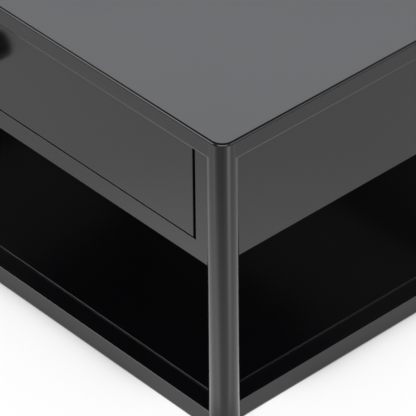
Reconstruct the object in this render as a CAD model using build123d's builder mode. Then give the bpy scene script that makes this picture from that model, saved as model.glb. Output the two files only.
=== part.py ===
"""Low side table: a steel tube frame, a sheet steel housing with one drawer, and an open shelf below.

The drawer opens towards -Y. The origin lies on the floor, at the middle of the whole outline.
"""
import os

from build123d import *

os.makedirs("parts", exist_ok=True)

# Overall sizes of the frame, in millimetres
table_width = 840.0
table_depth = 600.0
table_height = 422.0

# Round tube of the legs and square tube of the rails
leg_diameter = 35.0
leg_wall = 2.0
leg_clearance = 0.05
tube = 25.0
tube_wall = 1.5
tube_edge_radius = 3.5
rail_set_in = 0.3
weld_stub = 8.0
weld_overlap = 1.0
foot_thickness = 1.5
plug_height = 14.0
plug_clearance = 0.2
plug_wall = 2.5

# Sheet top, ground flush with the frame below it
top_thickness = 1.2

# Drawer housing between the leg pairs
housing_height = 158.0
housing_set_back = 10.0
sheet = 1.5
bend_radius = 0.8
stile_width = 29.0
strip_height = 25.0
bezel_flange = 14.0
floor_flange = 12.0

# Lower shelf and its frame
shelf_rail_radius = 1.0
shelf_drop = 1.5
shelf_gap = 2.5
shelf_bend_radius = 1.5
shelf_flange = 10.0
ledge_width = 12.0
ledge_share = 0.6

# Drawer front and box
side_gap = 4.0
edge_gap = 2.0
front_depth = 18.0
front_lip = 30.0
drawer_sheet = 1.2
drawer_height = 105.0
drawer_lift = 8.0
drawer_flange = 10.0
rear_space = 12.5

# Knob
knob_diameter = 35.0
knob_length = 32.0
knob_neck_diameter = 16.0
knob_neck_length = 5.0
knob_edge_radius = 1.5

# Telescopic runners
runner_height = 45.4
runner_depth = 12.7
runner_inset = 4.0
runner_overlap = 40.0
runner_rise = 44.0
runner_sheet = 1.2
outer_reach = 10.0
lip_height = 3.0
ball_diameter = 4.4
ball_clearance = 0.3
ball_pitch = 24.0
strip_thickness = 0.6
strip_clearance = 0.2
strip_width = 6.4
strip_margin = 20.0
web_step = 2.6
carrier_height = 60.0

# Fasteners and buffers
bolt_diameter = 5.0
bolt_head_diameter = 9.0
bolt_head_height = 2.6
bolt_length = 9.0
bolt_edge_distance = 25.0
screw_diameter = 4.0
screw_head_diameter = 7.0
screw_head_height = 1.1
screw_length = 7.0
short_screw_length = 4.0
screw_end_distance = 40.0
knob_screw_length = 16.0
hole_clearance = 0.15
buffer_diameter = 12.0
buffer_clearance = 0.5

# Levels and planes that the pieces share
knob_reach = max(knob_length - housing_set_back, 0)
front_y = (knob_reach - table_depth) / 2
back_y = front_y + table_depth
middle_y = (front_y + back_y) / 2
leg_top_z = table_height - top_thickness
rail_low_z = leg_top_z - tube
leg_radius = leg_diameter / 2
leg_outer_x = table_width / 2
leg_x = leg_outer_x - leg_radius
leg_y = front_y + leg_radius
leg_inner_x = leg_outer_x - leg_diameter
leg_inner_y = front_y + leg_diameter
housing_side_x = leg_outer_x - rail_set_in - tube
housing_front_y = front_y + housing_set_back
housing_back_y = back_y - housing_set_back
housing_low_z = rail_low_z - housing_height
opening_half = housing_side_x - stile_width
opening_low_z = housing_low_z + strip_height
drawer_front_half = opening_half - side_gap
drawer_front_low_z = opening_low_z + edge_gap
drawer_front_top_z = rail_low_z - edge_gap
box_half = drawer_front_half - runner_depth
box_front_y = housing_front_y + front_depth
box_back_y = housing_back_y - sheet - rear_space
box_low_z = drawer_front_low_z + drawer_lift
box_top_z = box_low_z + drawer_height
carrier_face_x = box_half + runner_depth
runner_front_y = box_front_y + runner_inset
runner_back_y = box_back_y - runner_inset
runner_length = runner_back_y - runner_front_y
drawer_travel = runner_length - runner_overlap
runner_z = box_low_z + runner_rise
shelf_rail_top_z = foot_thickness + tube
screw_hole = screw_diameter / 2 + hole_clearance
bolt_hole = bolt_diameter / 2 + hole_clearance
left_to_right = Plane.YZ
front_to_back = Plane.XZ.offset(-middle_y)


def save(piece, name):
    """Label a finished piece and write it as the node of that name."""
    piece.part.label = name
    export_step(piece.part, f"parts/{name}.step")


def mirrored(piece, about):
    """Return the mirror image of a finished piece."""
    with BuildPart() as copy:
        mirror(piece.part, about=about)
    return copy


def save_pair(right_piece, name):
    """Write the right-hand piece and its mirror image on the left."""
    save(right_piece, f"{name}_right")
    save(mirrored(right_piece, left_to_right), f"{name}_left")


def slab(x_limits, y_limits, z_limits, mode=Mode.ADD):
    """Add or cut a rectangular block between the given limits."""
    limits = (x_limits, y_limits, z_limits)
    with Locations(tuple((low + high) / 2 for low, high in limits)):
        Box(*[high - low for low, high in limits], mode=mode)


def facing_x(x, y, z):
    """Return a plane at a point, facing +X, with its sketch axes along Y and Z."""
    return Plane((x, y, z), x_dir=(0, 1, 0), z_dir=(1, 0, 0))


def facing_front(x, y, z):
    """Return a plane at a point, facing -Y, with its sketch axes along X and Z."""
    return Plane((x, y, z), x_dir=(1, 0, 0), z_dir=(0, -1, 0))


def tube_bore(edge_radius):
    """Cut the hollow of the square tube out of its section."""
    inner_radius = max(edge_radius - tube_wall, tube_wall / 4)
    RectangleRounded(tube - 2 * tube_wall, tube - 2 * tube_wall, inner_radius, mode=Mode.SUBTRACT)


def ground_section():
    """Draw a solid top rail section whose upper corners run on into the rounding of the sheet top."""
    with Locations((0, top_thickness / 2)):
        RectangleRounded(tube, tube + top_thickness, tube_edge_radius)
    with Locations((0, (tube + top_thickness) / 2)):
        Rectangle(tube, top_thickness, mode=Mode.SUBTRACT)


def clear_legs():
    """Cut away the room that the four legs take up."""
    for side in (-1, 1):
        for row_y in (leg_y, 2 * middle_y - leg_y):
            with Locations((side * leg_x, row_y, table_height / 2)):
                Cylinder(leg_radius + leg_clearance, table_height, mode=Mode.SUBTRACT)


# Legs: round tube with a closed head, ground round, that carries a short stub of each top rail
leg_length = leg_top_z - foot_thickness
leg_place = Location((leg_x, leg_y, 0), (0, 0, 225))
top_rail_y = front_y + rail_set_in + tube / 2
top_rail_x = housing_side_x + tube / 2
top_rail_z = rail_low_z + tube / 2
stub_length = leg_radius - weld_overlap + weld_stub

with BuildPart() as leg:
    with BuildSketch(Plane.XY.offset(foot_thickness)):
        with Locations(leg_place):
            Circle(leg_radius)
    extrude(amount=leg_length + top_thickness)
    fillet(leg.edges().group_by(Axis.Z)[-1], tube_edge_radius)
    split(bisect_by=Plane.XY.offset(leg_top_z), keep=Keep.BOTTOM)
    with BuildSketch(facing_x(leg_x - weld_overlap, top_rail_y, top_rail_z)):
        ground_section()
    extrude(amount=-stub_length)
    with BuildSketch(facing_front(top_rail_x, leg_y + weld_overlap, top_rail_z)):
        ground_section()
    extrude(amount=-stub_length)
    with BuildSketch(Plane.XY.offset(foot_thickness)):
        with Locations(leg_place):
            Circle(leg_radius - leg_wall)
    extrude(amount=leg_length - 2 * leg_wall, mode=Mode.SUBTRACT)

leg_left = mirrored(leg, left_to_right)
save(leg, "leg_front_right")
save(leg_left, "leg_front_left")
save(mirrored(leg, front_to_back), "leg_back_right")
save(mirrored(leg_left, front_to_back), "leg_back_left")

# Glides: plastic plugs that close the leg ends and stand on the floor
plug_radius = leg_radius - leg_wall - plug_clearance

with BuildPart() as glide:
    with BuildSketch():
        with Locations(leg_place):
            Circle(leg_radius - leg_wall / 2)
    extrude(amount=foot_thickness)
    with BuildSketch(Plane.XY.offset(foot_thickness)):
        with Locations(leg_place):
            Circle(plug_radius)
            Circle(plug_radius - plug_wall, mode=Mode.SUBTRACT)
    extrude(amount=plug_height)

glide_left = mirrored(glide, left_to_right)
save(glide, "glide_front_right")
save(glide_left, "glide_front_left")
save(mirrored(glide, front_to_back), "glide_back_right")
save(mirrored(glide_left, front_to_back), "glide_back_left")

# Top rails: tube between the leg stubs, almost flush with the outer line of the legs
long_rail_half = leg_inner_x - weld_stub
short_rail_half = table_depth / 2 - leg_diameter - weld_stub
bolt_row = short_rail_half - bolt_edge_distance
bolt_places = [middle_y + share * bolt_row for share in (-1, -1 / 3, 1 / 3, 1)]

with BuildPart() as top_rail_front:
    with BuildSketch(facing_x(0, top_rail_y, top_rail_z)):
        ground_section()
        tube_bore(tube_edge_radius)
    extrude(amount=long_rail_half, both=True)
save(top_rail_front, "top_rail_front")
save(mirrored(top_rail_front, front_to_back), "top_rail_back")

with BuildPart() as top_rail_side:
    with BuildSketch(facing_front(top_rail_x, middle_y, top_rail_z)):
        ground_section()
        tube_bore(tube_edge_radius)
    extrude(amount=short_rail_half, both=True)
    with BuildSketch(Plane.YZ.offset(housing_side_x)):
        with Locations([(place, top_rail_z) for place in bolt_places]):
            Circle(bolt_hole)
    extrude(amount=tube_wall, mode=Mode.SUBTRACT)
save_pair(top_rail_side, "top_rail")

# Top sheet on the rails, its edge ground to one rounding with them
top_width = table_width - 2 * rail_set_in
top_depth = table_depth - 2 * rail_set_in

with BuildPart() as top_panel:
    with BuildSketch(Plane.XY.offset(leg_top_z - tube_edge_radius)):
        with Locations((0, middle_y)):
            RectangleRounded(top_width, top_depth, leg_radius - rail_set_in)
    extrude(amount=tube_edge_radius + top_thickness)
    fillet(top_panel.edges().group_by(Axis.Z)[-1], tube_edge_radius)
    split(bisect_by=Plane.XY.offset(leg_top_z), keep=Keep.TOP)
save(top_panel, "top_panel")

# Bottom frame: four mitred rails, cut round at the legs
shelf_rail_z = foot_thickness + tube / 2
shelf_front_y = housing_front_y + tube
shelf_back_y = housing_back_y - tube
shelf_rail_x = housing_side_x - tube
front_mitre = (housing_side_x, housing_front_y, 0)
back_mitre = (housing_side_x, housing_back_y, 0)
front_mitre_left = (-housing_side_x, housing_front_y, 0)

with BuildPart() as bottom_rail_front:
    with BuildSketch(facing_x(0, housing_front_y + tube / 2, shelf_rail_z)):
        RectangleRounded(tube, tube, shelf_rail_radius)
        tube_bore(shelf_rail_radius)
    extrude(amount=housing_side_x, both=True)
    split(bisect_by=Plane(front_mitre, z_dir=(1, 1, 0)), keep=Keep.BOTTOM)
    split(bisect_by=Plane(front_mitre_left, z_dir=(-1, 1, 0)), keep=Keep.BOTTOM)
    clear_legs()
save(bottom_rail_front, "bottom_rail_front")
save(mirrored(bottom_rail_front, front_to_back), "bottom_rail_back")

with BuildPart() as bottom_rail_side:
    with BuildSketch(facing_front(housing_side_x - tube / 2, middle_y, shelf_rail_z)):
        RectangleRounded(tube, tube, shelf_rail_radius)
        tube_bore(shelf_rail_radius)
    extrude(amount=table_depth / 2 - housing_set_back, both=True)
    split(bisect_by=Plane(front_mitre, z_dir=(-1, -1, 0)), keep=Keep.BOTTOM)
    split(bisect_by=Plane(back_mitre, z_dir=(-1, 1, 0)), keep=Keep.BOTTOM)
    clear_legs()
save_pair(bottom_rail_side, "bottom_rail")

# Shelf: a shallow tray, open below, that rests on angle ledges inside the bottom frame
shelf_half = shelf_rail_x - shelf_gap
shelf_y = (shelf_front_y + shelf_gap, shelf_back_y - shelf_gap)
shelf_top_z = shelf_rail_top_z - shelf_drop
shelf_low_z = shelf_top_z - shelf_flange

with BuildPart() as lower_shelf:
    slab((-shelf_half, shelf_half), shelf_y, (shelf_low_z, shelf_top_z))
    rim = lower_shelf.edges().group_by(Axis.Z)[-1]
    fillet(rim, shelf_bend_radius)
    slab(
        (sheet - shelf_half, shelf_half - sheet),
        (shelf_y[0] + sheet, shelf_y[1] - sheet),
        (shelf_low_z, shelf_top_z - sheet),
        mode=Mode.SUBTRACT,
    )
save(lower_shelf, "lower_shelf")

ledge_drop = shelf_low_z - ledge_width
long_ledge_half = ledge_share * shelf_rail_x
short_ledge_half = ledge_share * (shelf_back_y - shelf_front_y) / 2

with BuildPart() as shelf_ledges:
    slab(
        (-long_ledge_half, long_ledge_half),
        (shelf_front_y, shelf_front_y + sheet),
        (ledge_drop, shelf_low_z),
    )
    slab(
        (-long_ledge_half, long_ledge_half),
        (shelf_front_y + sheet, shelf_front_y + ledge_width),
        (shelf_low_z - sheet, shelf_low_z),
    )
    slab(
        (shelf_rail_x - sheet, shelf_rail_x),
        (middle_y - short_ledge_half, middle_y + short_ledge_half),
        (ledge_drop, shelf_low_z),
    )
    slab(
        (shelf_rail_x - ledge_width, shelf_rail_x - sheet),
        (middle_y - short_ledge_half, middle_y + short_ledge_half),
        (shelf_low_z - sheet, shelf_low_z),
    )
    near_ledges = shelf_ledges.solids()
    mirror(near_ledges.sort_by(Axis.Y)[0], about=front_to_back)
    mirror(near_ledges.sort_by(Axis.X)[-1], about=left_to_right)
save(shelf_ledges, "shelf_ledges")

# Bezel: one sheet round the drawer opening, with its inner edges folded back
opening_height = rail_low_z - opening_low_z
flange_back_y = housing_front_y + bezel_flange

with BuildPart() as front_bezel:
    with BuildSketch(Plane.XZ.offset(-housing_front_y)):
        with Locations((0, housing_low_z + housing_height / 2)):
            Rectangle(2 * housing_side_x, housing_height)
        with Locations((0, opening_low_z + opening_height / 2)):
            Rectangle(2 * opening_half, opening_height, mode=Mode.SUBTRACT)
    extrude(amount=-sheet)
    for side in (-1, 1):
        edges = sorted((side * opening_half, side * (opening_half + sheet)))
        slab(edges, (housing_front_y + sheet, flange_back_y), (opening_low_z - sheet, rail_low_z))
    slab(
        (-opening_half, opening_half),
        (housing_front_y + sheet, flange_back_y),
        (opening_low_z - sheet, opening_low_z),
    )
    front_edges = front_bezel.edges().group_by(Axis.Y)[0]
    near_opening = front_edges.filter_by(lambda edge: abs(edge.center().X) < opening_half + sheet / 2)
    opening_rim = near_opening.filter_by(lambda edge: opening_low_z - sheet < edge.center().Z < rail_low_z)
    fillet(opening_rim, bend_radius)
    clear_legs()
save(front_bezel, "front_bezel")

# Side panels hang on the side rails between the legs, the back panel and floor close the housing
panel_x = housing_side_x - sheet
panel_y = (housing_front_y + sheet, housing_back_y - sheet)

with BuildPart() as side_panel:
    slab((panel_x, housing_side_x), panel_y, (housing_low_z, leg_top_z))
    with BuildSketch(Plane.YZ.offset(panel_x)):
        with Locations([(place, top_rail_z) for place in bolt_places]):
            Circle(bolt_hole)
    extrude(amount=sheet, mode=Mode.SUBTRACT)
    clear_legs()
save_pair(side_panel, "side_panel")

with BuildPart() as back_panel:
    slab((-housing_side_x, housing_side_x), (panel_y[1], housing_back_y), (housing_low_z, rail_low_z))
    clear_legs()
save(back_panel, "back_panel")

with BuildPart() as housing_floor:
    slab((-panel_x, panel_x), panel_y, (housing_low_z, housing_low_z + floor_flange))
    slab(
        (sheet - panel_x, panel_x - sheet),
        (panel_y[0] + sheet, panel_y[1] - sheet),
        (housing_low_z + sheet, housing_low_z + floor_flange),
        mode=Mode.SUBTRACT,
    )
    clear_legs()
save(housing_floor, "housing_floor")

with BuildPart() as housing_bolts:
    for place in bolt_places:
        head_plane = facing_x(panel_x, place, top_rail_z)
        with BuildSketch(head_plane):
            Circle(bolt_head_diameter / 2)
        extrude(amount=-bolt_head_height)
        with BuildSketch(head_plane):
            Circle(bolt_diameter / 2)
        extrude(amount=bolt_length)
    mirror(housing_bolts.part, about=left_to_right)
save(housing_bolts, "housing_bolts")

# Channels that carry the runners, from the side panel to the runner
carrier_y = (leg_inner_y + edge_gap, 2 * middle_y - leg_inner_y - edge_gap)
carrier_z = (runner_z - carrier_height / 2, runner_z + carrier_height / 2)
screw_ends = (
    runner_front_y + screw_end_distance,
    (runner_front_y + runner_back_y) / 2,
    runner_back_y - screw_end_distance,
)

with BuildPart() as runner_carrier:
    slab((carrier_face_x, panel_x), carrier_y, carrier_z)
    slab(
        (carrier_face_x + sheet, panel_x),
        carrier_y,
        (carrier_z[0] + sheet, carrier_z[1] - sheet),
        mode=Mode.SUBTRACT,
    )
    with BuildSketch(Plane.YZ.offset(carrier_face_x)):
        with Locations([(end, runner_z) for end in screw_ends]):
            Circle(screw_hole)
    extrude(amount=sheet, mode=Mode.SUBTRACT)
save_pair(runner_carrier, "runner_carrier")

# Runner members: three nested channels, with balls between their flanges
race = ball_diameter + 2 * ball_clearance
outer_half = runner_height / 2
middle_half = outer_half - runner_sheet - race
inner_half = middle_half - runner_sheet - race
middle_back_x = carrier_face_x - web_step
middle_tip_x = box_half + runner_sheet + strip_thickness
inner_tip_x = middle_back_x - runner_sheet - web_step / 2
runner_plane = facing_front(0, runner_front_y, runner_z)


def channel_profile(web_x, tip_x, half):
    """Draw a channel section with its web at one side and its flanges reaching to the tips."""
    width = abs(web_x - tip_x)
    opening = width - runner_sheet
    inward = 1 if tip_x > web_x else -1
    with Locations(((web_x + tip_x) / 2, 0)):
        Rectangle(width, 2 * half)
    with Locations((tip_x - inward * opening / 2, 0)):
        Rectangle(opening, 2 * (half - runner_sheet), mode=Mode.SUBTRACT)


with BuildPart() as runner_outer:
    outer_tip_x = carrier_face_x - outer_reach
    with BuildSketch(runner_plane):
        channel_profile(carrier_face_x, outer_tip_x, outer_half)
        for side in (-1, 1):
            lip_z = side * (outer_half - runner_sheet - lip_height / 2)
            with Locations((outer_tip_x + runner_sheet / 2, lip_z)):
                Rectangle(runner_sheet, lip_height)
    extrude(amount=-runner_length)
    with BuildSketch(Plane.YZ.offset(carrier_face_x)):
        with Locations([(end, runner_z) for end in screw_ends]):
            Circle(screw_hole)
    extrude(amount=-runner_sheet, mode=Mode.SUBTRACT)
save_pair(runner_outer, "runner_outer")

with BuildPart() as runner_middle:
    with BuildSketch(runner_plane):
        channel_profile(middle_back_x, middle_tip_x, middle_half)
    extrude(amount=-runner_length)
save_pair(runner_middle, "runner_middle")

with BuildPart() as runner_inner:
    with BuildSketch(runner_plane):
        channel_profile(box_half, inner_tip_x, inner_half)
    extrude(amount=-runner_length)
    with BuildSketch(Plane.YZ.offset(box_half)):
        with Locations([(end, runner_z) for end in screw_ends]):
            Circle(screw_hole)
    extrude(amount=runner_sheet, mode=Mode.SUBTRACT)
save_pair(runner_inner, "runner_inner")

# Ball strips and balls, one pair of rows outside the middle member and one pair inside it
strip_length = runner_length - drawer_travel / 2 - strip_margin
ball_count = int(strip_length // ball_pitch)
strip_middle_y = (runner_front_y + runner_back_y) / 2
outer_ball_x = outer_tip_x + runner_sheet + strip_width / 2 + strip_clearance
inner_ball_x = (middle_tip_x + inner_tip_x) / 2
ball_rows = {
    "outer": (outer_ball_x, middle_half + race / 2),
    "inner": (inner_ball_x, inner_half + race / 2),
}

for place, (ball_x, rise) in ball_rows.items():
    with BuildPart() as ball_strips:
        for side in (-1, 1):
            with BuildSketch(Plane.XY.offset(runner_z + side * rise - strip_thickness / 2)):
                with Locations((ball_x, strip_middle_y)):
                    Rectangle(strip_width, strip_length)
                with Locations((ball_x, strip_middle_y)):
                    with GridLocations(ball_pitch, ball_pitch, 1, ball_count):
                        Circle(ball_diameter / 2 + strip_clearance, mode=Mode.SUBTRACT)
            extrude(amount=strip_thickness)
    save_pair(ball_strips, f"ball_strips_{place}")
    with BuildPart() as balls:
        for side in (-1, 1):
            with Locations((ball_x, strip_middle_y, runner_z + side * rise)):
                with GridLocations(ball_pitch, ball_pitch, 1, ball_count):
                    Sphere(ball_diameter / 2)
    save_pair(balls, f"balls_{place}")

with BuildPart() as carrier_screws:
    for end in screw_ends:
        head_plane = facing_x(carrier_face_x - runner_sheet, end, runner_z)
        with BuildSketch(head_plane):
            Circle(screw_head_diameter / 2)
        extrude(amount=-screw_head_height)
        with BuildSketch(head_plane):
            Circle(screw_diameter / 2)
        extrude(amount=screw_length)
    mirror(carrier_screws.part, about=left_to_right)
save(carrier_screws, "carrier_screws")

with BuildPart() as drawer_screws:
    for end in screw_ends:
        head_plane = facing_x(box_half + runner_sheet, end, runner_z)
        with BuildSketch(head_plane):
            Circle(screw_head_diameter / 2)
        extrude(amount=screw_head_height)
        with BuildSketch(head_plane):
            Circle(screw_diameter / 2)
        extrude(amount=-short_screw_length)
    mirror(drawer_screws.part, about=left_to_right)
save(drawer_screws, "drawer_screws")

# Drawer front: a folded pan with a lip at each end that the box is screwed to
front_y_limits = (housing_front_y, box_front_y)
front_z = (drawer_front_low_z, drawer_front_top_z)
front_middle_z = (drawer_front_low_z + drawer_front_top_z) / 2
front_screw_x = box_half - screw_head_diameter
front_screw_levels = (box_low_z + bolt_edge_distance, box_top_z - bolt_edge_distance)
front_screw_points = [(side * front_screw_x, level) for side in (-1, 1) for level in front_screw_levels]

with BuildPart() as drawer_front:
    slab((-drawer_front_half, drawer_front_half), front_y_limits, front_z)
    fillet(drawer_front.edges().group_by(Axis.Y)[0], bend_radius)
    slab(
        (sheet - drawer_front_half, drawer_front_half - sheet),
        (housing_front_y + sheet, box_front_y),
        (drawer_front_low_z + sheet, drawer_front_top_z - sheet),
        mode=Mode.SUBTRACT,
    )
    lip_levels = (drawer_front_low_z + sheet, drawer_front_top_z - sheet)
    for side in (-1, 1):
        edges = sorted((side * (drawer_front_half - sheet), side * (drawer_front_half - front_lip)))
        slab(edges, (box_front_y - sheet, box_front_y), lip_levels)
    with BuildSketch(Plane.XZ.offset(-box_front_y)):
        with Locations(front_screw_points):
            Circle(screw_hole)
    extrude(amount=sheet, mode=Mode.SUBTRACT)
    with BuildSketch(Plane.XZ.offset(-housing_front_y)):
        with Locations((0, front_middle_z)):
            Circle(screw_hole)
    extrude(amount=-sheet, mode=Mode.SUBTRACT)
save(drawer_front, "drawer_front")

# Drawer box: inner front wall, two sides with folded edges, back and bottom
side_inner_x = box_half - drawer_sheet
box_y = (box_front_y + drawer_sheet, box_back_y - drawer_sheet)
bottom_z = box_low_z + drawer_sheet

with BuildPart() as drawer_inner_front:
    slab((-box_half, box_half), (box_front_y, box_y[0]), (box_low_z, box_top_z))
    with BuildSketch(Plane.XZ.offset(-box_front_y)):
        with Locations(front_screw_points):
            Circle(screw_hole)
    extrude(amount=-drawer_sheet, mode=Mode.SUBTRACT)
save(drawer_inner_front, "drawer_inner_front")

with BuildPart() as drawer_back:
    slab((-box_half, box_half), (box_y[1], box_back_y), (box_low_z, box_top_z))
save(drawer_back, "drawer_back")

with BuildPart() as drawer_side:
    slab((side_inner_x, box_half), box_y, (box_low_z, box_top_z))
    slab((box_half - drawer_flange, side_inner_x), box_y, (box_low_z, bottom_z))
    slab((side_inner_x - drawer_sheet, side_inner_x), box_y, (box_top_z - drawer_flange, box_top_z))
    with BuildSketch(Plane.YZ.offset(side_inner_x)):
        with Locations([(end, runner_z) for end in screw_ends]):
            Circle(screw_hole)
    extrude(amount=drawer_sheet, mode=Mode.SUBTRACT)
save_pair(drawer_side, "drawer_side")

with BuildPart() as drawer_bottom:
    slab((-side_inner_x, side_inner_x), box_y, (bottom_z, bottom_z + drawer_sheet))
save(drawer_bottom, "drawer_bottom")

with BuildPart() as front_screws:
    for point in front_screw_points:
        head_plane = facing_front(point[0], box_y[0], point[1])
        with BuildSketch(head_plane):
            Circle(screw_head_diameter / 2)
        extrude(amount=-screw_head_height)
        with BuildSketch(head_plane):
            Circle(screw_diameter / 2)
        extrude(amount=screw_length)
save(front_screws, "front_screws")

# Knob: a turned cylinder on a short neck, held by a screw from inside the front
knob_plane = facing_front(0, housing_front_y, front_middle_z)
knob_bore_depth = knob_screw_length - sheet + edge_gap

with BuildPart() as knob:
    with BuildSketch(knob_plane):
        Circle(knob_neck_diameter / 2)
    extrude(amount=knob_neck_length)
    with BuildSketch(knob_plane.offset(knob_neck_length)):
        Circle(knob_diameter / 2)
    extrude(amount=knob_length - knob_neck_length)
    rims = knob.edges().filter_by(GeomType.CIRCLE).sort_by(Axis.Y)
    fillet(rims[0], knob_edge_radius)
    with BuildSketch(knob_plane):
        Circle(screw_hole)
    extrude(amount=knob_bore_depth, mode=Mode.SUBTRACT)
save(knob, "knob")

with BuildPart() as knob_screw:
    with BuildSketch(knob_plane.offset(-sheet)):
        Circle(screw_head_diameter / 2)
    extrude(amount=-screw_head_height)
    with BuildSketch(knob_plane.offset(-sheet)):
        Circle(screw_diameter / 2)
    extrude(amount=knob_screw_length)
save(knob_screw, "knob_screw")

# Rubber buffers on the back panel that the closed drawer stops against
buffer_length = rear_space - buffer_clearance

with BuildPart() as rear_buffers:
    for side in (-1, 1):
        with BuildSketch(facing_front(side * box_half / 2, panel_y[1], runner_z)):
            Circle(buffer_diameter / 2)
        extrude(amount=buffer_length)
save(rear_buffers, "rear_buffers")
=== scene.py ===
"""Looks of the low black side table: its finishes, its screws, the white studio and the camera."""
import math

import bmesh
import bpy
from bpy.props import FloatProperty, FloatVectorProperty, PointerProperty
from mathutils import Matrix, Vector


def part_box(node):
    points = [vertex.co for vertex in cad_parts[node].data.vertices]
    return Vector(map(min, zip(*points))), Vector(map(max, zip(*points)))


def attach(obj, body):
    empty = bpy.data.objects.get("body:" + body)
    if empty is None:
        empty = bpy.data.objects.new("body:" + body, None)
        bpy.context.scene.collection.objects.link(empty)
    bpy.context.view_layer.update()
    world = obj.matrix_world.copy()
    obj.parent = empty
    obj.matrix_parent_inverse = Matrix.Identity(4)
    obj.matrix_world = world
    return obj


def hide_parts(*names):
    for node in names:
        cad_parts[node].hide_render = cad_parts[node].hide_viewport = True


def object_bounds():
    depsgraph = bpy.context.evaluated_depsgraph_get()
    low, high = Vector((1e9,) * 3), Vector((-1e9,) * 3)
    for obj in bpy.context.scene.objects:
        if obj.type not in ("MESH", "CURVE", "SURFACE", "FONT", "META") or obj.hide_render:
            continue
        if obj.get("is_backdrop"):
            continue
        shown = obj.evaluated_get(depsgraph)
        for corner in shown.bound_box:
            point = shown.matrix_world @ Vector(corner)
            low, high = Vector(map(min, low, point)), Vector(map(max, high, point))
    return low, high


bl_info = {
    "name": "Black Side Table",
    "version": (1, 0, 0),
    "blender": (4, 5, 0),
    "location": "View3D > Sidebar > Side Table",
    "description": "Finishes the side table on its fixed frame and sets it in a white studio",
    "category": "Object",
}

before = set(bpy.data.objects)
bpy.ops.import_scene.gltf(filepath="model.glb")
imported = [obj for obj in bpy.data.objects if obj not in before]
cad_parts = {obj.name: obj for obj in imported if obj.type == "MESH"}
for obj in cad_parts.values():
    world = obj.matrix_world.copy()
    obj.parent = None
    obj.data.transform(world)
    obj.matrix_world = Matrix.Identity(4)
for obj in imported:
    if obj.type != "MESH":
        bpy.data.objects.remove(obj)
cad_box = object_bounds()
near_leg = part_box("leg_front_right")
near_corner = Vector((near_leg[1].x, near_leg[0].y, 0.0))

# Nodes that share a finish, and the fasteners with the bodies that carry them
LEGS = [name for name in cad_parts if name.startswith("leg_")]
RAILS = [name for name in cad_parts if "_rail_" in name]
PANELS = ["front_bezel", "side_panel_left", "side_panel_right", "back_panel", "housing_floor"]
CARRIERS = ["runner_carrier_left", "runner_carrier_right"]
DRAWER = [
    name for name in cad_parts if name.startswith("drawer_") and name != "drawer_screws"
]
RUNNER_MEMBERS = ("runner_outer", "runner_middle", "runner_inner")
RUNNERS = [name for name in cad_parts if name.startswith(RUNNER_MEMBERS)]
BALL_STRIPS = [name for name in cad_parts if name.startswith("ball_strips")]
BALLS = [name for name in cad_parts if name.startswith("balls_")]
GLIDES = [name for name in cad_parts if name.startswith("glide_")]
FASTENERS = {
    "carrier_screws": "frame",
    "housing_bolts": "frame",
    "drawer_screws": "drawer",
    "front_screws": "drawer",
    "knob_screw": "drawer",
}

# Sockets of a Mix node for colours
MIX_FIRST, MIX_SECOND, MIX_RESULT = 6, 7, 2
WHITE = (1, 1, 1)

# Noises of the finishes: waves in one metre, and the squeeze that draws a noise out into lines
COAT_CLOUDS = 7.0
KNOB_CLOUDS, KNOB_RINGS = 40.0, 1500.0
ZINC_CLOUDS, ZINC_LINES = 60.0, 1400.0
BALL_FILM = 400.0
MOULD_CLOUDS = 50.0
GRAIN_TO_PEEL = 6
LINE_SQUEEZE = 0.02
NOISE_MIDDLE = 0.5

# Darkest and lightest shade of a finish, as shares of its colour
COAT_SHADES = (0.85, 1.15)
KNOB_SHADES = (0.8, 1.2)
ZINC_SHADES = (0.72, 1.2)
BALL_SHADES = (0.85, 1.1)
MOULD_SHADES = (0.8, 1.25)

# How far a noise moves the roughness of a finish, and the weight of a noise beside another
COAT_CLOUD_SWAY, COAT_GRAIN_SWAY = 0.05, 0.04
KNOB_SWAY = 0.08
ZINC_LINE_SWAY, ZINC_CLOUD_SWAY = 0.2, 0.16
BALL_SWAY = 0.14
MOULD_SWAY = 0.12
COAT_GRAIN_WEIGHT = 0.25
ZINC_CLOUD_WEIGHT, ZINC_LINE_WEIGHT = 0.6, 0.4

# Glossier coat on rounded edges: (upward part of the surface normal, weight)
ROUNDED = ((0.34, 0.0), (0.56, 1.0), (0.88, 1.0), (0.97, 0.0))

# Grain of the moulded pieces: waves in one metre, depth in metres
GLIDE_GRAIN = (1800.0, 0.00003)
BUFFER_GRAIN = (2600.0, 0.00004)

# Screws, in metres: points closer than the spacing belong to one screw
SCREW_SPACING = 0.03
SCREW_PITCH = 0.0008
SCREW_SIDES = 24
SMOOTH_ANGLE = math.radians(28)
RIM_SHARE = 0.95
# Pan head from its crown down to its seat: (share of its radius, share of its height)
HEAD_PROFILE = ((0.72, 1.0), (0.92, 0.85), (1.0, 0.5), (1.0, 0.0))
# Crest and root of the thread: (share of the shank's radius, share of the pitch)
THREAD_PROFILE = ((1.0, 0.35), (0.82, 0.8))
TIP_SHARE = 0.7
# Cross recess, as shares of the head: arm, half width, taper of its floor, height of its floor
CROSS_ARM, CROSS_HALF, CROSS_TAPER, CROSS_FLOOR = 0.52, 0.11, 0.7, 0.35

# Painted shade in the floor's glow by its open share of the sky: (open share, level), near the
# leg, where a painted pool of light keeps it white, and farther
PAINTED_SHADOW_NEAR = ((0.0, 0.0), (0.27, 0.06), (0.42, 0.95), (0.5, 1.0), (1.0, 1.0))
PAINTED_SHADOW_FAR = ((0.0, 0.0), (0.27, 0.06), (0.43, 0.52), (0.55, 0.74), (0.8, 0.93), (1.0, 1.0))

# What the coat mirrors. Levels run up to LEVEL_SPAN, and turns are degrees from the drawer front.
LEVEL_SPAN = 4.0
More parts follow.
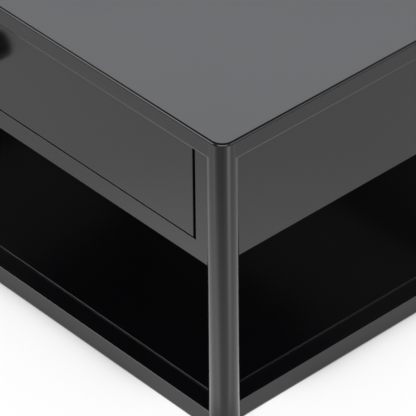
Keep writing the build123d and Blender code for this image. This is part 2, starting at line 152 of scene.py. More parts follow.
# Painted light and shade on the floor round the near leg, seen only in reflections: painted pools
# of light and painted shadow of the table, close to it and farther: (turn, level)
PAINTED_REFLECTION_NEAR = (
    (-40, 1.6), (-28, 1.7), (-6, 2.2), (4, 2.0), (20, 1.2), (40, 1.0),
    (76, 1.1), (95, 2.0), (104, 2.0), (113, 1.5), (125, 1.3),
)
PAINTED_REFLECTION_FAR = (
    (-45, 0.88), (-37, 1.0), (-28, 1.4), (-17, 1.55), (-2, 0.8), (8, 0.58), (50, 0.58),
    (72, 0.83), (82, 1.3), (90, 2.7), (98, 2.7), (106, 1.5), (113, 1.0), (125, 0.93),
)
# Pale panels: turns where each starts, is full, fades and ends, and (sine of height, share)
FRONT_PANEL = (-58, -50, -28, -18)
SIDE_PANEL = (102, 111, 143, 152)
PANEL_RISE = (
    (0.0, 0.4), (0.2, 0.45), (0.26, 0.57), (0.34, 0.85), (0.42, 1.0), (0.5, 1.0), (0.55, 0.0),
)
# Pale wall: cosines of the turn from straight behind, and sines of height, where it fades
WALL_SIDES = (0.3, 0.5)
WALL_TOP = (0.22, 0.34)

FLOOR_SIDES = 96
FLOOR_DROP = 0.0002
LEG_POINT_HEIGHT = 0.2
PHOTO_SIDE = 416
SENSOR_WIDTH = 36.0
CLIP_RADII = 4


class FinishSettings(bpy.types.PropertyGroup):
    """Colours and textures of the table's finishes."""

    coat_colour: FloatVectorProperty(
        name="Coat Colour", description="Black of the powder coat", subtype="COLOR", size=3,
        default=(0.002, 0.002, 0.0026), min=0, max=1,
    )
    coat_roughness: FloatProperty(
        name="Coat Roughness", description="Satin of the powder coat", subtype="FACTOR",
        default=0.19, min=0, max=1,
    )
    surface_roughness: FloatProperty(
        name="Surface Roughness", description="Finer satin of the top and the shelf",
        subtype="FACTOR", default=0.14, min=0, max=1,
    )
    edge_roughness: FloatProperty(
        name="Edge Roughness", description="Satin of the coat on ground, rounded edges",
        subtype="FACTOR", default=0.12, min=0, max=1,
    )
    edge_ior: FloatProperty(
        name="Edge Gloss", description="Index of refraction of the coat on ground, rounded edges",
        default=2.0, min=1,
    )
    peel_scale: FloatProperty(
        name="Peel Scale", description="Waves of the sprayed coat in one metre",
        default=420.0, min=1,
    )
    peel_height: FloatProperty(
        name="Peel Height", description="Depth of the sprayed coat's waves", unit="LENGTH",
        default=0.000004, precision=6,
    )
    knob_colour: FloatVectorProperty(
        name="Knob Colour", description="Black of the turned knob", subtype="COLOR", size=3,
        default=(0.008, 0.008, 0.0085), min=0, max=1,
    )
    knob_roughness: FloatProperty(
        name="Knob Roughness", description="Satin of the turned knob", subtype="FACTOR",
        default=0.3, min=0, max=1,
    )
    zinc_colour: FloatVectorProperty(
        name="Zinc Colour", description="Grey of the plated runners", subtype="COLOR", size=3,
        default=(0.52, 0.53, 0.54), min=0, max=1,
    )
    zinc_roughness: FloatProperty(
        name="Zinc Roughness", description="Gloss of the plated runners", subtype="FACTOR",
        default=0.36, min=0, max=1,
    )
    ball_colour: FloatVectorProperty(
        name="Ball Colour", description="Grey of the bearing balls", subtype="COLOR", size=3,
        default=(0.74, 0.74, 0.75), min=0, max=1,
    )
    ball_roughness: FloatProperty(
        name="Ball Roughness", description="Gloss of the balls where they are dry",
        subtype="FACTOR", default=0.1, min=0, max=1,
    )
    plastic_colour: FloatVectorProperty(
        name="Plastic Colour", description="Black of the glides", subtype="COLOR", size=3,
        default=(0.016, 0.016, 0.016), min=0, max=1,
    )
    plastic_roughness: FloatProperty(
        name="Plastic Roughness", description="Satin of the glides", subtype="FACTOR",
        default=0.45, min=0, max=1,
    )
    rubber_colour: FloatVectorProperty(
        name="Rubber Colour", description="Black of the buffers", subtype="COLOR", size=3,
        default=(0.022, 0.022, 0.021), min=0, max=1,
    )
    rubber_roughness: FloatProperty(
        name="Rubber Roughness", description="Dullness of the buffers", subtype="FACTOR",
        default=0.7, min=0, max=1,
    )


class StudioSettings(bpy.types.PropertyGroup):
    """Floor, light and camera of the white studio."""

    floor_colour: FloatVectorProperty(
        name="Floor Colour", description="White of the studio floor", subtype="COLOR", size=3,
        default=(0.9, 0.9, 0.9), min=0, max=1,
    )
    floor_radius: FloatProperty(
        name="Floor Radius", description="Reach of the studio floor", unit="LENGTH",
        default=60.0, min=1,
    )
    # The glow is not plain white: it carries a painted shadow and a painted pool of light
    floor_glow: FloatProperty(
        name="Floor Glow", description="Share of plain white that the camera sees on the floor",
        subtype="FACTOR", default=0.9, min=0, max=1,
    )
    # Reach of the painted shadow in the floor's glow
    painted_shadow_reach: FloatProperty(
        name="Shelter Reach",
        description="Distance over which the table keeps light from the floor",
        unit="LENGTH", default=0.12, min=0,
    )
    # Reach of the painted pool of light round the near leg
    painted_pool_reach: FloatVectorProperty(
        name="Pool Reach",
        description="Distance from the near leg over which the brightest floor ends",
        unit="LENGTH", size=2, default=(0.09, 0.2), min=0,
    )
    touch_reach: FloatVectorProperty(
        name="Touch Reach",
        description="Distance over which the mirrored floor loses the table's own shadow",
        unit="LENGTH", size=2, default=(0.03, 0.12), min=0,
    )
    # Reaches of the painted light and shade that the coat mirrors in the floor
    near_reach: FloatVectorProperty(
        name="Near Reach",
        description="Distance from the near leg over which the mirrored floor changes",
        unit="LENGTH", size=2, default=(0.15, 0.55), min=0,
    )
    far_reach: FloatVectorProperty(
        name="Far Reach",
        description="Distance from the near leg over which the mirrored floor goes dark",
        unit="LENGTH", size=2, default=(0.8, 5.0), min=0,
    )
    sky_level: FloatProperty(
        name="Sky Level", description="Light that the white room gives from all sides",
        default=1.25, min=0,
    )
    dark_level: FloatProperty(
        name="Dark Level",
        description="Brightness of the room between its lamps, as the coat mirrors it",
        default=0.02, min=0,
    )
    wall_level: FloatProperty(
        name="Wall Level",
        description="Brightness of the pale wall behind the table, as the coat mirrors it",
        default=0.5, min=0,
    )
    front_level: FloatProperty(
        name="Front Panel Level",
        description="Brightness of the pale panel in front of the table, as the coat mirrors it",
        default=2.2, min=0,
    )
    side_level: FloatProperty(
        name="Side Panel Level",
        description="Brightness of the pale panel beside the table, as the coat mirrors it",
        default=1.0, min=0,
    )
    back_level: FloatProperty(
        name="Back Box Level", description="Brightness of the soft box behind the table",
        default=2.31, min=0,
    )
    back_colour: FloatVectorProperty(
        name="Back Box Colour",
        description="Slightly cool white of the soft box behind the table", subtype="COLOR",
        size=3, default=(0.975, 0.99, 1.03), min=0, max=2,
    )
    back_lift: FloatProperty(
        name="Back Box Lift", description="Height of the soft box over the camera's mirror image",
        subtype="ANGLE", default=math.radians(2),
    )
    back_distance: FloatProperty(
        name="Back Box Distance", description="From the near corner to the soft box behind",
        unit="LENGTH", default=1.5, min=0,
    )
    back_size: FloatVectorProperty(
        name="Back Box Size", description="Width and height of the soft box behind",
        unit="LENGTH", size=2, default=(1.6, 0.74), min=0,
    )
    room_level: FloatProperty(
        name="Room Box Level", description="Brightness of the soft box on the camera's side",
        default=1.2, min=0,
    )
    room_rise: FloatProperty(
        name="Room Box Rise", description="Height of the soft box on the camera's side",
        subtype="ANGLE", default=math.radians(24),
    )
    room_distance: FloatProperty(
        name="Room Box Distance",
        description="From the near corner to the soft box on the camera's side",
        unit="LENGTH", default=2.4, min=0,
    )
    room_size: FloatVectorProperty(
        name="Room Box Size", description="Width and height of the soft box on the camera's side",
        unit="LENGTH", size=2, default=(3.0, 1.5), min=0,
    )
    view_azimuth: FloatProperty(
        name="View Azimuth", description="Turn of the camera from the drawer front",
        subtype="ANGLE", default=math.radians(47.875),
    )
    view_elevation: FloatProperty(
        name="View Elevation", description="Height of the camera above the floor",
        subtype="ANGLE", default=math.radians(37.04),
    )
    view_roll: FloatProperty(
        name="View Roll", description="Tilt of the camera about its own axis",
        subtype="ANGLE", default=math.radians(-0.589),
    )
    focal_pixels: FloatProperty(
        name="Focal Length", description="Focal length in pixels of the picture",
        default=4130.65, min=1,
    )
    view_depth: FloatProperty(
        name="View Depth", description="Depth of the near leg along the view axis",
        unit="LENGTH", default=4.585, min=0.1,
    )
    leg_point: FloatVectorProperty(
        name="Leg Point", description="Outer corner of the near leg's box",
        subtype="TRANSLATION", size=3, default=(near_corner.x, near_corner.y, LEG_POINT_HEIGHT),
    )
    leg_pixel: FloatVectorProperty(
        name="Leg Pixel", description="Place of that point in the picture",
        size=2, default=(222.60, 310.29),
    )


class Signal:
    """One output socket that takes part in arithmetic by adding Math nodes."""

    def __init__(self, network, socket):
        self.network = network
        self.socket = socket

    def _math(self, operation, first, second):
        return self.network.add("ShaderNodeMath", {"operation": operation}, {0: first, 1: second})

    def __add__(self, other):
        return self._math("ADD", self, other)

    def __radd__(self, other):
        return self._math("ADD", other, self)

    def __sub__(self, other):
        return self._math("SUBTRACT", self, other)

    def __rsub__(self, other):
        return self._math("SUBTRACT", other, self)

    def __mul__(self, other):
        return self._math("MULTIPLY", self, other)

    def __rmul__(self, other):
        return self._math("MULTIPLY", other, self)

    def at_most(self, other):
        """The smaller of two values."""
        return self._math("MINIMUM", self, other)


class Network:
    """The nodes of one material or world."""

    def __init__(self, tree):
        self.tree = tree
        tree.nodes.clear()

    def add(self, kind, settings=None, inputs=None, output=0):
        """Add a node, set it up, feed its sockets and return one of its outputs."""
        node = self.tree.nodes.new(kind)
        for name, value in (settings or {}).items():
            if name == "stops":
                set_stops(node.color_ramp, value)
            else:
                setattr(node, name, value)
        for key, value in (inputs or {}).items():
            if isinstance(value, Signal):
                self.tree.links.new(value.socket, node.inputs[key])
            else:
                node.inputs[key].default_value = value
        return Signal(self, node.outputs[output]) if node.outputs else None

    def place(self):
        """The point of the surface in the table's own frame, in metres."""
        return self.add("ShaderNodeTexCoord", output="Object")

    def path(self, fact):
        """One fact about the ray that meets the surface."""
        return self.add("ShaderNodeLightPath", output=fact)

    def part(self, vector, axis):
        """One part of a vector."""
        return self.add("ShaderNodeSeparateXYZ", None, {0: vector}, axis)

    def noise(self, scale, detail=2.0, roughness=0.5, stretch=(1, 1, 1)):
        """Smooth noise between 0 and 1 with so many waves in a metre along each axis."""
        point = self.add(
            "ShaderNodeVectorMath", {"operation": "MULTIPLY"}, {0: self.place(), 1: stretch}
        )
        return self.add(
            "ShaderNodeTexNoise", None,
            {"Vector": point, "Scale": scale, "Detail": detail, "Roughness": roughness},
        )

    def ease(self, value, limits, course="SMOOTHSTEP"):
        """A value between 0 and 1 that rises between two limits."""
        return self.add(
            "ShaderNodeMapRange", {"interpolation_type": course},
            {0: value, 1: limits[0], 2: limits[1], 3: 0.0, 4: 1.0},
        )

    def ramp(self, value, stops):
        """A grey level that follows these (value, level) stops."""
        return self.add("ShaderNodeValToRGB", {"stops": stops}, {0: value})

    def blend(self, share, first, second):
        """A colour that goes from the first to the second."""
        return self.add(
            "ShaderNodeMix", {"data_type": "RGBA", "clamp_factor": True},
            {0: share, MIX_FIRST: first, MIX_SECOND: second}, MIX_RESULT,
        )

    def tint(self, share, colour, shades):
        """A colour that goes from its darkest to its lightest shade."""
        return self.blend(share, *[shade(colour, level) for level in shades])

    def bump(self, height, depth):
        """A surface normal from a height between 0 and 1 and its depth in metres."""
        return self.add("ShaderNodeBump", None, {"Height": height, "Distance": depth})

    def mix(self, share, first, second):
        """A shader that goes from the first to the second."""
        return self.add("ShaderNodeMixShader", None, {0: share, 1: first, 2: second})

    def surface(self, **sockets):
        """Join a Principled shader with these sockets to the output."""
        inputs = {name.replace("_", " "): value for name, value in sockets.items()}
        shader = self.add("ShaderNodeBsdfPrincipled", None, inputs)
        self.add("ShaderNodeOutputMaterial", None, {"Surface": shader})


def set_stops(ramp, stops):
    """Give a colour ramp these (place, grey level) stops."""
    while len(ramp.elements) < len(stops):
        ramp.elements.new(1.0)
    for element, (place, level) in zip(ramp.elements, stops):
        element.position = place
        element.color = (level, level, level, 1.0)


def shade(colour, level):
    """A colour made lighter or darker, with its alpha."""
    return (*[min(channel * level, 1.0) for channel in colour], 1.0)


def sway(noise, reach):
    """A noise turned into a change about nothing, as wide as the reach."""
    return reach * (noise - NOISE_MIDDLE)


def new_material(name):
    """An empty material and its network."""
    material = bpy.data.materials.new(name)
    material.use_nodes = True
    return material, Network(material.node_tree)


def powder_coat(name, settings, roughness):
    """Satin black coat: slow shade changes, sprayed waves, fine grain, glossier rounded edges."""
    material, net = new_material(name)
    cloud = net.noise(COAT_CLOUDS, detail=3.0)
    peel = net.noise(settings.peel_scale, detail=1.0)
    grain = net.noise(settings.peel_scale * GRAIN_TO_PEEL, detail=1.0)
    upward = net.part(net.add("ShaderNodeNewGeometry", output="Normal"), "Z")
    net.surface(
        Base_Color=net.tint(cloud, settings.coat_colour, COAT_SHADES),
        Roughness=roughness + sway(cloud, COAT_CLOUD_SWAY) + sway(grain, COAT_GRAIN_SWAY),
        Normal=net.bump(peel + COAT_GRAIN_WEIGHT * grain, settings.peel_height),
        Coat_Weight=net.ramp(upward, ROUNDED),
        Coat_Roughness=settings.edge_roughness,
        Coat_IOR=settings.edge_ior,
    )
    return material


def turned_coat(name, settings):
    """Black coat on the turned knob, with the faint rings that the tool left."""
    material, net = new_material(name)
    cloud = net.noise(KNOB_CLOUDS, detail=3.0)
    rings = net.noise(KNOB_RINGS, detail=1.0, stretch=(LINE_SQUEEZE, 1, LINE_SQUEEZE))
    net.surface(
        Base_Color=net.tint(cloud, settings.knob_colour, KNOB_SHADES),
        Roughness=settings.knob_roughness + sway(cloud, KNOB_SWAY),
        Normal=net.bump(rings, settings.peel_height),
    )
    return material


def zinc_plate(name, settings, along):
    """Bright zinc on rolled steel, with rolling lines along one axis and cloudy patches."""
    material, net = new_material(name)
    stretch = tuple(LINE_SQUEEZE if axis == along else 1.0 for axis in range(3))
    lines = net.noise(ZINC_LINES, detail=2.0, stretch=stretch)
    cloud = net.noise(ZINC_CLOUDS, detail=4.0, roughness=0.6)
    patches = ZINC_CLOUD_WEIGHT * cloud + ZINC_LINE_WEIGHT * lines
    unevenness = sway(lines, ZINC_LINE_SWAY) + sway(cloud, ZINC_CLOUD_SWAY)
    net.surface(
        Base_Color=net.tint(patches, settings.zinc_colour, ZINC_SHADES),
        Metallic=1.0,
        Roughness=settings.zinc_roughness + unevenness,
        Normal=net.bump(lines, settings.peel_height),
    )
    return material


def ball_steel(name, settings):
    """Polished bearing steel with a thin film of grease."""
    material, net = new_material(name)
    film = net.noise(BALL_FILM, detail=3.0)
    net.surface(
        Base_Color=net.tint(film, settings.ball_colour, BALL_SHADES),
        Metallic=1.0,
        Roughness=settings.ball_roughness + BALL_SWAY * film,
    )
    return material


def moulded(name, colour, roughness, grain_scale, grain_depth):
    """Moulded plastic or rubber with an even fine grain."""
    material, net = new_material(name)
    cloud = net.noise(MOULD_CLOUDS, detail=3.0)
    grain = net.noise(grain_scale, detail=2.0)
    net.surface(
        Base_Color=net.tint(cloud, colour, MOULD_SHADES),
        Roughness=roughness + sway(grain, MOULD_SWAY),
        Normal=net.bump(grain, grain_depth),
    )
    return material


def finish_nodes(names, material):
    """Give these nodes a finish."""
    for name in names:
        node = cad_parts[name]
        node.data.materials.clear()
        node.data.materials.append(material)


class SIDETABLE_OT_coat_frame(bpy.types.Operator):
    """Coat the legs, the rails and the ledges"""

    bl_idname = "sidetable.coat_frame"
    bl_label = "Coat Frame"

    def execute(self, context):
        settings = context.scene.sidetable_finish
        coat = powder_coat("Frame_Coat", settings, settings.coat_roughness)
        finish_nodes(LEGS + RAILS + ["shelf_ledges"], coat)
        return {"FINISHED"}


class SIDETABLE_OT_coat_housing(bpy.types.Operator):
    """Coat the sheets round the drawer and the channels that carry its runners"""

    bl_idname = "sidetable.coat_housing"
    bl_label = "Coat Housing"

    def execute(self, context):
        settings = context.scene.sidetable_finish
        coat = powder_coat("Housing_Coat", settings, settings.coat_roughness)
        finish_nodes(PANELS + CARRIERS, coat)
        return {"FINISHED"}


class SIDETABLE_OT_coat_surfaces(bpy.types.Operator):
    """Coat the top and the shelf"""

    bl_idname = "sidetable.coat_surfaces"
    bl_label = "Coat Surfaces"

    def execute(self, context):
        settings = context.scene.sidetable_finish
        coat = powder_coat("Surface_Coat", settings, settings.surface_roughness)
        finish_nodes(["top_panel", "lower_shelf"], coat)
        return {"FINISHED"}


class SIDETABLE_OT_coat_drawer(bpy.types.Operator):
    """Coat the drawer's front and box"""

    bl_idname = "sidetable.coat_drawer"
    bl_label = "Coat Drawer"

    def execute(self, context):
        settings = context.scene.sidetable_finish
        coat = powder_coat("Drawer_Coat", settings, settings.coat_roughness)
        finish_nodes(DRAWER, coat)
        return {"FINISHED"}


class SIDETABLE_OT_finish_knob(bpy.types.Operator):
    """Coat the turned knob"""

    bl_idname = "sidetable.finish_knob"
    bl_label = "Finish Knob"

    def execute(self, context):
        coat = turned_coat("Knob_Coat", context.scene.sidetable_finish)
        finish_nodes(["knob"], coat)
        return {"FINISHED"}


class SIDETABLE_OT_finish_runners(bpy.types.Operator):
    """Plate the runners and their ball strips, and polish the balls"""

    bl_idname = "sidetable.finish_runners"
    bl_label = "Finish Runners"

    def execute(self, context):
        settings = context.scene.sidetable_finish
        zinc = zinc_plate("Runner_Zinc", settings, along=1)
        finish_nodes(RUNNERS + BALL_STRIPS, zinc)
        finish_nodes(BALLS, ball_steel("Ball_Steel", settings))
        return {"FINISHED"}


def vertex_groups(name):
    """The points of a node's solids, one group for each screw."""
    groups = []
    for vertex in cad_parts[name].data.vertices:
        point = vertex.co.copy()
        near = [group for group in groups if (group[0] - point).length < SCREW_SPACING]
        if near:
            near[0].append(point)
        else:
            groups.append([point])
    return groups


def fastener_spots(name):
    """Place, direction and sizes of each screw of a node, read from its plain solids."""
    for group in vertex_groups(name):
        low = Vector([min(point[axis] for point in group) for axis in range(3)])
        high = Vector([max(point[axis] for point in group) for axis in range(3)])
        size, middle = high - low, (low + high) / 2
        axis = min(range(3), key=lambda turn: abs(size[(turn + 1) % 3] - size[(turn + 2) % 3]))
        head_radius = size[(axis + 1) % 3] / 2
        along = [point[axis] for point in group]
        centre = middle[:axis] + middle[axis + 1:]
        across = [math.dist(point[:axis] + point[axis + 1:], centre) for point in group]
        rim_radius = RIM_SHARE * head_radius
        rim = [place for place, radius in zip(along, across) if radius > rim_radius]
        shank_radius = max(radius for radius in across if radius < rim_radius)
        outward = 1 if max(rim) == high[axis] else -1
        seat = middle.copy()
        seat[axis] = min(rim) if outward == 1 else max(rim)
        direction = Vector([outward if index == axis else 0 for index in range(3)])
        head_height = max(rim) - min(rim)
        yield seat, direction, head_radius, head_height, shank_radius, size[axis] - head_height


def lathe(shape, profile, segments):
    """Turn a row of (radius, height) points about Z and return the first ring."""
    angles = [2 * math.pi * step / segments for step in range(segments)]
    circle = [(math.cos(angle), math.sin(angle)) for angle in angles]
    rings = []
    for radius, height in profile:
        rings.append([shape.verts.new((radius * x, radius * y, height)) for x, y in circle])
    for upper, lower in zip(rings, rings[1:]):
        for step in range(segments):
            after = (step + 1) % segments
            shape.faces.new((upper[step], lower[step], lower[after], upper[after]))
    shape.faces.new(list(reversed(rings[-1])))
    return rings[0]


def cross_outline(arm, half_width):
    """The twelve corners of a cross, in order."""
    quarter = [(arm, -half_width), (arm, half_width), (half_width, half_width)]
    corners = []
    for cosine, sine in ((1, 0), (0, 1), (-1, 0), (0, -1)):
        corners += [(x * cosine - y * sine, x * sine + y * cosine) for x, y in quarter]
    return corners


def screw_profile(head_radius, head_height, shank_radius, shank_length):
    """Radius and height of a pan head screw, from the crown of its head to its tip."""
    profile = [(radius * head_radius, height * head_height) for radius, height in HEAD_PROFILE]
    profile.append((shank_radius, 0.0))
    for turn in range(max(int(shank_length / SCREW_PITCH) - 1, 1)):
        for radius, depth in THREAD_PROFILE:
            profile.append((radius * shank_radius, -(turn + depth) * SCREW_PITCH))
    profile.append((TIP_SHARE * shank_radius, -shank_length))
    return profile


def add_screw(shape, seat, direction, head_radius, head_height, shank_radius, shank_length):
    """Add a screw with a cross recess and a thread, its head seated at the given place."""
    first = len(shape.verts)
    profile = screw_profile(head_radius, head_height, shank_radius, shank_length)
    ring = lathe(shape, profile, SCREW_SIDES)
    outline = cross_outline(CROSS_ARM * head_radius, CROSS_HALF * head_radius)
    floor = CROSS_FLOOR * head_height
    rim = [shape.verts.new((x, y, head_height)) for x, y in outline]
    deep = [shape.verts.new((CROSS_TAPER * x, CROSS_TAPER * y, floor)) for x, y in outline]
    edges = [shape.edges.get((one, two)) for one, two in zip(ring, ring[1:] + ring[:1])]
    for step in range(len(rim)):
        after = (step + 1) % len(rim)
        shape.faces.new((rim[step], rim[after], deep[after], deep[step]))
        edges.append(shape.edges.get((rim[step], rim[after])))
    shape.faces.new(deep)
    bmesh.ops.triangle_fill(shape, edges=edges, use_beauty=True, normal=(0, 0, 1))
    shape.verts.ensure_lookup_table()
    turned = direction.to_track_quat("Z", "Y").to_matrix().to_4x4()
    seated = Matrix.Translation(seat) @ turned
    bmesh.ops.transform(shape, matrix=seated, verts=shape.verts[first:])


class SIDETABLE_OT_add_screws(bpy.types.Operator):
    """Add the screws and bolts with their recesses and threads"""

    bl_idname = "sidetable.add_screws"
    bl_label = "Add Screws"

    def execute(self, context):
        zinc = zinc_plate("Fastener_Zinc", context.scene.sidetable_finish, along=0)
        for name, body in FASTENERS.items():
            finish_nodes([name], zinc)
            shape = bmesh.new()
            for spot in fastener_spots(name):
                add_screw(shape, *spot)
            bmesh.ops.recalc_face_normals(shape, faces=shape.faces)
            for face in shape.faces:
                face.smooth = True
            mesh = bpy.data.meshes.new(f"Turned_{name}")
            shape.to_mesh(mesh)
            shape.free()
            mesh.set_sharp_from_angle(angle=SMOOTH_ANGLE)
            mesh.materials.append(zinc)
            screws = bpy.data.objects.new(f"Turned_{name}", mesh)
            context.collection.objects.link(screws)
            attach(screws, body)
            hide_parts(name)
        return {"FINISHED"}


class SIDETABLE_OT_finish_feet(bpy.types.Operator):
    """Finish the plastic glides and the rubber buffers"""

    bl_idname = "sidetable.finish_feet"
    bl_label = "Finish Glides and Buffers"

    def execute(self, context):
        settings = context.scene.sidetable_finish
        plastic = moulded(
            "Glide_Plastic", settings.plastic_colour, settings.plastic_roughness, *GLIDE_GRAIN
        )
        rubber = moulded(
            "Buffer_Rubber", settings.rubber_colour, settings.rubber_roughness, *BUFFER_GRAIN
        )
        finish_nodes(GLIDES, plastic)
        finish_nodes(["rear_buffers"], rubber)
        return {"FINISHED"}


def sight(turn, rise):
    """The direction at this turn from the drawer front and this angle above the floor."""
    flat = math.cos(rise)
    return Vector((math.sin(turn) * flat, -math.cos(turn) * flat, math.sin(rise)))


def level_round(net, direction, levels):
    """A share of LEVEL_SPAN that follows the turn of a direction, from (turn, level) stops."""
    x, y = net.part(direction, "X"), net.part(direction, "Y")
    angle = net.add("ShaderNodeMath", {"operation": "ARCTAN2"}, {0: x, 1: 0 - y})
    turn = angle * (0.5 / math.pi) + 0.5
    return net.ramp(turn, [(degrees / 360 + 0.5, level / LEVEL_SPAN) for degrees, level in levels])


def from_near_leg(net):
    """A floor point seen from the near leg: its offset and its distance."""
    around = net.add(
        "ShaderNodeVectorMath", {"operation": "SUBTRACT"}, {0: net.place(), 1: near_corner}
    )
    reach = net.add("ShaderNodeVectorMath", {"operation": "LENGTH"}, {0: around}, output="Value")
    return around, reach


def painted_pool_and_shadow(net, studio):
    """The floor's glow: a painted pool of light at the near leg, and painted shadow where the
    table shelters it.
    """
    open_sky = net.add(
        "ShaderNodeAmbientOcclusion", None, {"Distance": studio.painted_shadow_reach}, output="AO"
    )
    # Painted shadow from ambient occlusion, and a painted pool of light that keeps the floor white
    # near the leg
    painted_pool, floor = net.ramp(open_sky, PAINTED_SHADOW_NEAR), net.ramp(open_sky, PAINTED_SHADOW_FAR)
    reach = from_near_leg(net)[1]
    colour = net.blend(net.ease(reach, studio.painted_pool_reach), painted_pool, floor)
    return net.add("ShaderNodeEmission", None, {"Color": colour, "Strength": 1.0})


def painted_floor_reflection(net, studio):
    """The floor as the coat mirrors it: painted pools of light and painted shadow round the near
    leg, dark far away.
    """
    around, reach = from_near_leg(net)
    near, far = level_round(net, around, PAINTED_REFLECTION_NEAR), level_round(net, around, PAINTED_REFLECTION_FAR)
    level = net.blend(net.ease(reach, studio.near_reach, "LINEAR"), near, far)
    dark = shade(WHITE, studio.dark_level / LEVEL_SPAN)
    colour = net.blend(net.ease(reach, studio.far_reach), level, dark)
    return net.add("ShaderNodeEmission", None, {"Color": colour, "Strength": LEVEL_SPAN})


def studio_floor(studio):
    """A wide white disc that keeps the table's shadow, and whose glow adds a painted shadow, a
    painted pool of light and painted reflections.
    """
    mesh = bpy.data.meshes.new("Studio_Floor")
    shape = bmesh.new()
    bmesh.ops.create_circle(
        shape, cap_ends=True, segments=FLOOR_SIDES, radius=studio.floor_radius
    )
    shape.to_mesh(mesh)
    shape.free()
    material, net = new_material("Studio_White")
    matt = net.add("ShaderNodeBsdfDiffuse", None, {"Color": shade(studio.floor_colour, 1.0)})
    glossy = net.path("Is Glossy Ray")
    glow = (net.path("Is Camera Ray") + glossy).at_most(1.0) * studio.floor_glow
    # The glow that the camera sees holds a painted shadow and a painted pool of light
    seen = net.mix(glow, matt, painted_pool_and_shadow(net, studio))
    apart = glossy * net.ease(net.path("Ray Length"), studio.touch_reach)
    # Farther from the table, the coat mirrors the floor's painted light and shade
    mixed = net.mix(apart, seen, painted_floor_reflection(net, studio))
    net.add("ShaderNodeOutputMaterial", None, {"Surface": mixed})
    mesh.materials.append(material)
    floor = bpy.data.objects.new("Studio_Floor", mesh)
    floor.location.z = cad_box[0].z - FLOOR_DROP
    bpy.context.collection.objects.link(floor)
    floor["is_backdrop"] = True


def background(net, colour, level):
    """A world that shines in this colour."""
    return net.add("ShaderNodeBackground", None, {"Color": colour, "Strength": level})


def mirrored_room(net, studio):
    """The room as the coat mirrors it: dark, with pale panels and a pale wall behind the table."""
    ray = net.add("ShaderNodeTexCoord", output="Generated")
    rise = net.part(ray, "Z")
    levels = []
    for turns, level in ((FRONT_PANEL, studio.front_level), (SIDE_PANEL, studio.side_level)):
        levels += zip(turns, (0.0, level, level, 0.0))
    dark = shade(WHITE, studio.dark_level / LEVEL_SPAN)
    colour = net.blend(net.ramp(rise, PANEL_RISE), dark, level_round(net, ray, levels))
    away = sight(studio.view_azimuth + math.pi, 0.0)
    behind = net.add(
        "ShaderNodeVectorMath", {"operation": "DOT_PRODUCT"}, {0: ray, 1: away}, output="Value"
    )
    wall_share = net.ease(behind, WALL_SIDES) * (1 - net.ease(rise, WALL_TOP))
    wall = background(net, shade(WHITE, 1.0), studio.wall_level)
    return net.mix(wall_share, background(net, colour, LEVEL_SPAN), wall)


def studio_sky(studio):
    """The white room: even light, plain white to the camera, and its own look in the coat."""
    world = bpy.data.worlds.new("Studio_Room")
    world.use_nodes = True
    net = Network(world.node_tree)
    white = shade(WHITE, 1.0)
    lighting, plain = background(net, white, studio.sky_level), background(net, white, 1.0)
    straight = (net.path("Is Camera Ray") + net.path("Is Transmission Ray")).at_most(1.0)
    seen = net.mix(straight, lighting, plain)
    mixed = net.mix(net.path("Is Glossy Ray"), seen, mirrored_room(net, studio))
    net.add("ShaderNodeOutputWorld", None, {"Surface": mixed})
    bpy.context.scene.world = world


def soft_box(name, direction, distance, size, level, colour=WHITE):
    """A flat light that faces the near corner of the top, with this brightness on its face."""
    data = bpy.data.lights.new(name, "AREA")
    data.shape = "RECTANGLE"
    data.size, data.size_y = size
    data.energy = level * math.pi * size[0] * size[1]
    data.color = colour
    lamp = bpy.data.objects.new(name, data)
    top_corner = Vector((near_corner.x, near_corner.y, cad_box[1].z))
    lamp.location = top_corner + direction * distance
    lamp.rotation_mode = "QUATERNION"
    lamp.rotation_quaternion = direction.to_track_quat("Z", "Y")
    lamp.visible_camera = False
    bpy.context.collection.objects.link(lamp)


def studio_lamps(studio):
    """A soft box behind the table, where the top mirrors it to the camera, and one opposite."""
    behind = sight(studio.view_azimuth + math.pi, studio.view_elevation + studio.back_lift)
    soft_box(
        "Back_Box", behind, studio.back_distance, studio.back_size, studio.back_level,
        studio.back_colour,
    )
    before = sight(studio.view_azimuth, studio.room_rise)
    soft_box("Room_Box", before, studio.room_distance, studio.room_size, studio.room_level)


def view_axes(studio):
    """The camera's right, up and backward directions."""
    back = sight(studio.view_azimuth, studio.view_elevation)
    right = Vector((0, 0, 1)).cross(back).normalized()
    up = back.cross(right)
    cosine, sine = math.cos(studio.view_roll), math.sin(studio.view_roll)
    return cosine * right + sine * up, cosine * up - sine * right, back


def studio_camera(studio):
    """A long lens that puts the near leg where the picture has it."""
    right, up, back = view_axes(studio)
    across = (studio.leg_pixel[0] - PHOTO_SIDE / 2) / studio.focal_pixels
    above = (PHOTO_SIDE / 2 - studio.leg_pixel[1]) / studio.focal_pixels
    place = Vector(studio.leg_point) - studio.view_depth * (across * right + above * up - back)
    data = bpy.data.cameras.new("Studio_Camera")
    data.sensor_width = SENSOR_WIDTH
    data.lens = studio.focal_pixels * SENSOR_WIDTH / PHOTO_SIDE
    data.clip_end = CLIP_RADII * studio.floor_radius
    camera = bpy.data.objects.new("Studio_Camera", data)
    turned = Matrix((right, up, back)).transposed().to_4x4()
    camera.matrix_world = Matrix.Translation(place) @ turned
    bpy.context.collection.objects.link(camera)
    bpy.context.scene.camera = camera


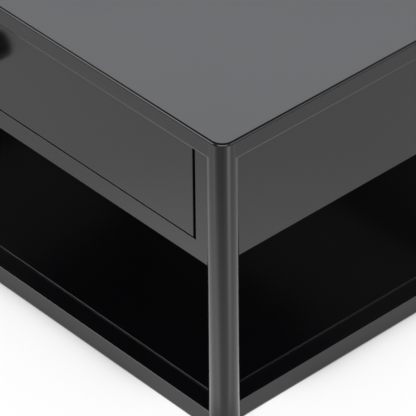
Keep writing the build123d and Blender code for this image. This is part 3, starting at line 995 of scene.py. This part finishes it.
class SIDETABLE_OT_stage(bpy.types.Operator):
    """Set the floor, the light and the camera"""

    bl_idname = "sidetable.stage"
    bl_label = "Set Stage"

    def execute(self, context):
        studio = context.scene.sidetable_studio
        context.scene.view_settings.view_transform = "Standard"
        studio_floor(studio)
        studio_sky(studio)
        studio_lamps(studio)
        studio_camera(studio)
        return {"FINISHED"}


OPERATORS = (
    SIDETABLE_OT_coat_frame,
    SIDETABLE_OT_coat_housing,
    SIDETABLE_OT_coat_surfaces,
    SIDETABLE_OT_coat_drawer,
    SIDETABLE_OT_finish_knob,
    SIDETABLE_OT_finish_runners,
    SIDETABLE_OT_add_screws,
    SIDETABLE_OT_finish_feet,
    SIDETABLE_OT_stage,
)


class SIDETABLE_PT_panel(bpy.types.Panel):
    """Finishes and stage of the side table"""

    bl_idname = "SIDETABLE_PT_panel"
    bl_label = "Side Table"
    bl_space_type = "VIEW_3D"
    bl_region_type = "UI"
    bl_category = "Side Table"

    def draw(self, context):
        for settings in (context.scene.sidetable_finish, context.scene.sidetable_studio):
            box = self.layout.box()
            for name in settings.__annotations__:
                box.prop(settings, name)
        for operator in OPERATORS:
            self.layout.operator(operator.bl_idname)


CLASSES = (FinishSettings, StudioSettings, *OPERATORS, SIDETABLE_PT_panel)


def register():
    """Add the classes and the scene's settings."""
    for cls in CLASSES:
        bpy.utils.register_class(cls)
    bpy.types.Scene.sidetable_finish = PointerProperty(type=FinishSettings)
    bpy.types.Scene.sidetable_studio = PointerProperty(type=StudioSettings)


def unregister():
    """Take the settings and the classes away again."""
    del bpy.types.Scene.sidetable_studio
    del bpy.types.Scene.sidetable_finish
    for cls in reversed(CLASSES):
        bpy.utils.unregister_class(cls)


def main():
    """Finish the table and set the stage."""
    register()
    for operator in OPERATORS:
        group, name = operator.bl_idname.split(".")
        getattr(getattr(bpy.ops, group), name)()
    boxes = {"cad": cad_box, "visual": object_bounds()}
    {name: [list(corner) for corner in box] for name, box in boxes.items()}


if __name__ == "__main__":
    main()
